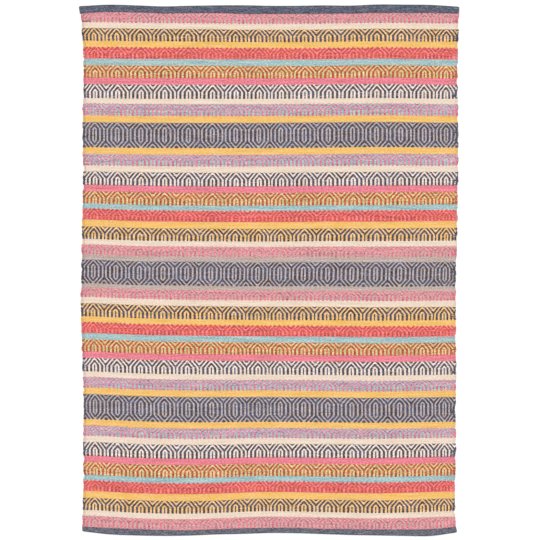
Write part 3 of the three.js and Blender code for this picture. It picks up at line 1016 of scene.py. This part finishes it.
slant = spot[0] + work("PINGPONG", spot[1], herringbone) * 1.4
twill = work("SINE", slant * (2 * np.pi / twill_pitch))
pale = 1 + twill * 0.1
for lengthwise, crosswise, strength in (
        (0.02, 0.1, 1.5), (0.06, 0.22, 2.4), (0.2, 0.25, 3.4), (0.8, 0.8, 1.2)):
    pale = pale + (tape_noise(lengthwise, crosswise) - 0.5) * strength
pale = work("MINIMUM", work("MAXIMUM", pale, 0.35), 2.2)
at_foot = spot[0] > 0
colour = mix(tape_noise(0.015, 0.06, 1), linear(80, 94, 116), linear(106, 100, 110))
colour = vectors("SCALE", mix(at_foot * 0.5, colour, linear(112, 112, 120)), pale)
beside_fold = ramp(abs(spot[1] + worn_from_fold), 3.5, 1)
worn = ramp(tape_noise(0.016, 0), 0.5, 0.62) * beside_fold * ramp(tape_noise(0.22, 0.3), 0.45, 0.6)
colour = mix(worn * 0.6, colour, linear(176, 172, 176))
fuzz = vectors("ADD", place, vectors("SCALE", noise(place, 0.9, 3, result="Color"), 5))
lint = put(tree, "ShaderNodeTexVoronoi", {
    "Vector": fuzz, "Scale": 1 / lint_spacing}, voronoi_dimensions="2D")
chosen = put(tree, "ShaderNodeSeparateColor", {0: lint["Color"]}) < 0.16
specks = (lint["Distance"] < lint_size / lint_spacing) * chosen
colour = mix(specks * 0.85, colour, linear(214, 204, 200))
# Painted shade: dark and greenish along the fold and at the turned-in ends.
painted_fold_shade = work("MAXIMUM", ramp(abs(spot[1]), 8, 3.6), ramp(spot[2], 3.2, 1.2))
colour = mix(painted_fold_shade * 0.7, colour, linear(58, 78, 74))
surfaced(tree, {
    "Base Color": colour, "Roughness": 0.9, "Specular IOR Level": 0.2, "Sheen Weight": 0.1,
    "Sheen Roughness": 0.5}, twill * 0.5 + pale, strength=0.5, depth=0.2)

# The stitches are of dark thread, a short running stitch that shows above and below.
stitch_pitch = 4.6
stitch_length = 3.6
thread_thickness = 0.8
stitch_seed = 11
thread, tree = new_material("seam_thread")
strands = noise(put(tree, "ShaderNodeTexCoord")["Object"], 900, 2)
surfaced(tree, {
    "Base Color": mix(strands, linear(38, 40, 54), linear(72, 74, 92)), "Roughness": 0.6,
    "Specular IOR Level": 0.3})

seam, given = mesh_group(
    "running_stitch", ("Pitch", "Float", stitch_pitch * mm), ("Stitch length", "Float", stitch_length * mm),
    ("Thread", "Float", thread_thickness * mm), ("Seed", "Int", stitch_seed))
line = put(seam, "GeometryNodeMeshToCurve", {0: given["Geometry"]})
line = put(seam, "GeometryNodeResampleCurve", {"Curve": line, "Length": given["Pitch"]}, mode="LENGTH")
tangent = put(seam, "GeometryNodeInputTangent")
turn = put(seam, "FunctionNodeAlignRotationToVector", {"Vector": tangent}, axis="X")
stitch = put(seam, "GeometryNodeMeshUVSphere", {"Segments": 6, "Rings": 4, "Radius": 0.5})
stitch = reshaped(stitch, Rotation=(0, np.pi / 2, 0))
stitch = reshaped(stitch, Scale=vector(given["Stitch length"], given["Thread"], given["Thread"] * 0.7))
uneven = put(seam, "FunctionNodeRandomValue", {
    0: (0.85, 0.9, 0.9), 1: (1.1, 1.15, 1.1), "Seed": given["Seed"]}, data_type="FLOAT_VECTOR")
stitches = copies(line, stitch, turn, uneven)
stitches = put(seam, "GeometryNodeSetMaterial", {"Geometry": stitches, "Material": thread})
put(seam, "NodeGroupOutput", {0: stitches})

for name, tape in tapes.items():
    mesh, cut_width = tape_mesh(name, tape)
    mesh.materials.append(binding)
    piece = placed(f"{name}_tape", mesh)
    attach(piece, "root")
    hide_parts(f"{name}_binding")

    line = np.arange(tape["left"] + corner_round, tape["right"] - corner_round, 5)
    along = tape_edge_along(tape["side"], line) + tape["side"] * seam_inset - outline_middle
    above, below = [np.stack([line, along, 0 * line + height], axis=1) for height in (
        binding_thickness - seam_depth + 0.12, seam_depth - 0.05)]
    edges = [(k, k + 1) for k in range(2 * len(line) - 1) if k != len(line) - 1]
    mesh = bpy.data.meshes.new(f"{name}_stitches")
    mesh.from_pydata((np.concatenate([above, below]) * mm).tolist(), edges, [])
    sewing = placed(f"{name}_stitches", mesh)
    applied(sewing, seam, pitch=stitch_pitch * mm, stitch_length=stitch_length * mm,
            thread=thread_thickness * mm, seed=stitch_seed)
    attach(sewing, "root")
    cut_width * mm


# The floor is a plain pale sheet, and the light is soft: a white room and one wide lamp.
floor_gap = 0.3
bpy.ops.mesh.primitive_plane_add(size=30, location=(0, 0, -floor_gap * mm))
floor = bpy.context.object
floor.name = "floor"
material, tree = new_material("pale_floor")
white = (1, 1, 1, 1)
surfaced(tree, {
    "Base Color": white, "Roughness": 0.9, "Specular IOR Level": 0, "Emission Color": white,
    "Emission Strength": 0.08})
floor.data.materials.append(material)

# The room is brightest low down, where the floor meets it.
room = bpy.data.worlds.new("white_room")
room.use_nodes = True
upwards = parts(put(room.node_tree, "ShaderNodeTexCoord")["Generated"])[2]
walls = room.node_tree.nodes["Background"]
walls.inputs["Color"].default_value = white
room.node_tree.links.new(ramp(upwards, 0.05, 0.3, 1, 0.79).socket, walls.inputs["Strength"])
bpy.context.scene.world = room

lamp = placed("wide_lamp", bpy.data.lights.new("wide_lamp", "SUN"))
lamp.data.energy = 1.1
lamp.data.angle = 0.5
lamp.rotation_euler = (-0.55, -0.45, 0)

bpy.context.scene.view_settings.view_transform = "Standard"
bpy.context.scene.view_settings.look = "None"
